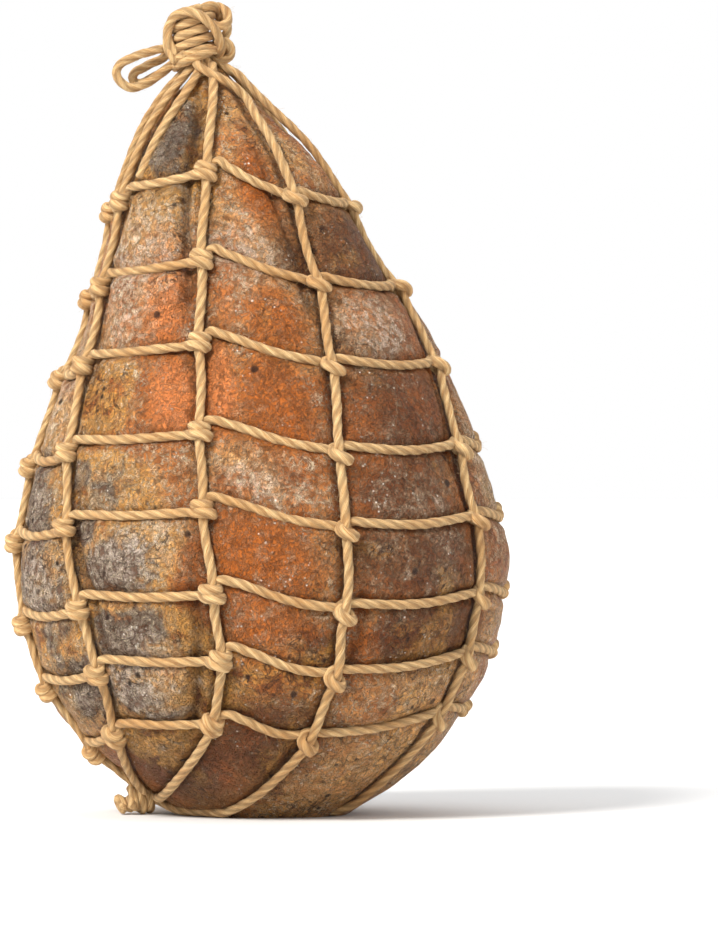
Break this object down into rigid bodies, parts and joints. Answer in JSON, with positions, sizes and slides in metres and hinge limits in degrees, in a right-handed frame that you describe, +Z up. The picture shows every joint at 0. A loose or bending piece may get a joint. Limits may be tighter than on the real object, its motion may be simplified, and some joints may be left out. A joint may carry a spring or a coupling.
{
  "type": "cured ham",
  "caption": "Whole dry-cured ham, pear-shaped, in a hand-tied net of butcher's twine with a bound neck and hanging bights, standing upright on its flattened foot.",
  "frame": {"origin": "bottom centre of the whole object's box, on the surface the ham stands on", "axes": "+Z up from the flattened foot to the bound neck, -Y towards the front, +X to the front view's right"},
  "size_m": [0.202, 0.1878, 0.319],
  "materials": {
    "ham_skin": "dry cured skin, mottled brown with grey and white mould bloom",
    "twine": "laid natural fibre twine with loose fibres"
  },
  "bodies": {
    "root": {"cured_ham": "ham_skin", "string_1": "twine", "string_2": "twine", "string_3": "twine", "string_4": "twine", "string_5": "twine", "string_6": "twine", "string_7": "twine", "string_8": "twine", "string_9": "twine", "string_10": "twine", "hoop_1": "twine", "hoop_2": "twine", "hoop_3": "twine", "hoop_4": "twine", "hoop_5": "twine", "hoop_6": "twine", "hoop_7": "twine", "hoop_8": "twine", "hoop_lead": "twine", "neck_binding": "twine", "hanging_bight_outer": "twine", "hanging_bight_inner": "twine", "bottom_knot": "twine"}
  },
  "joints": []
}
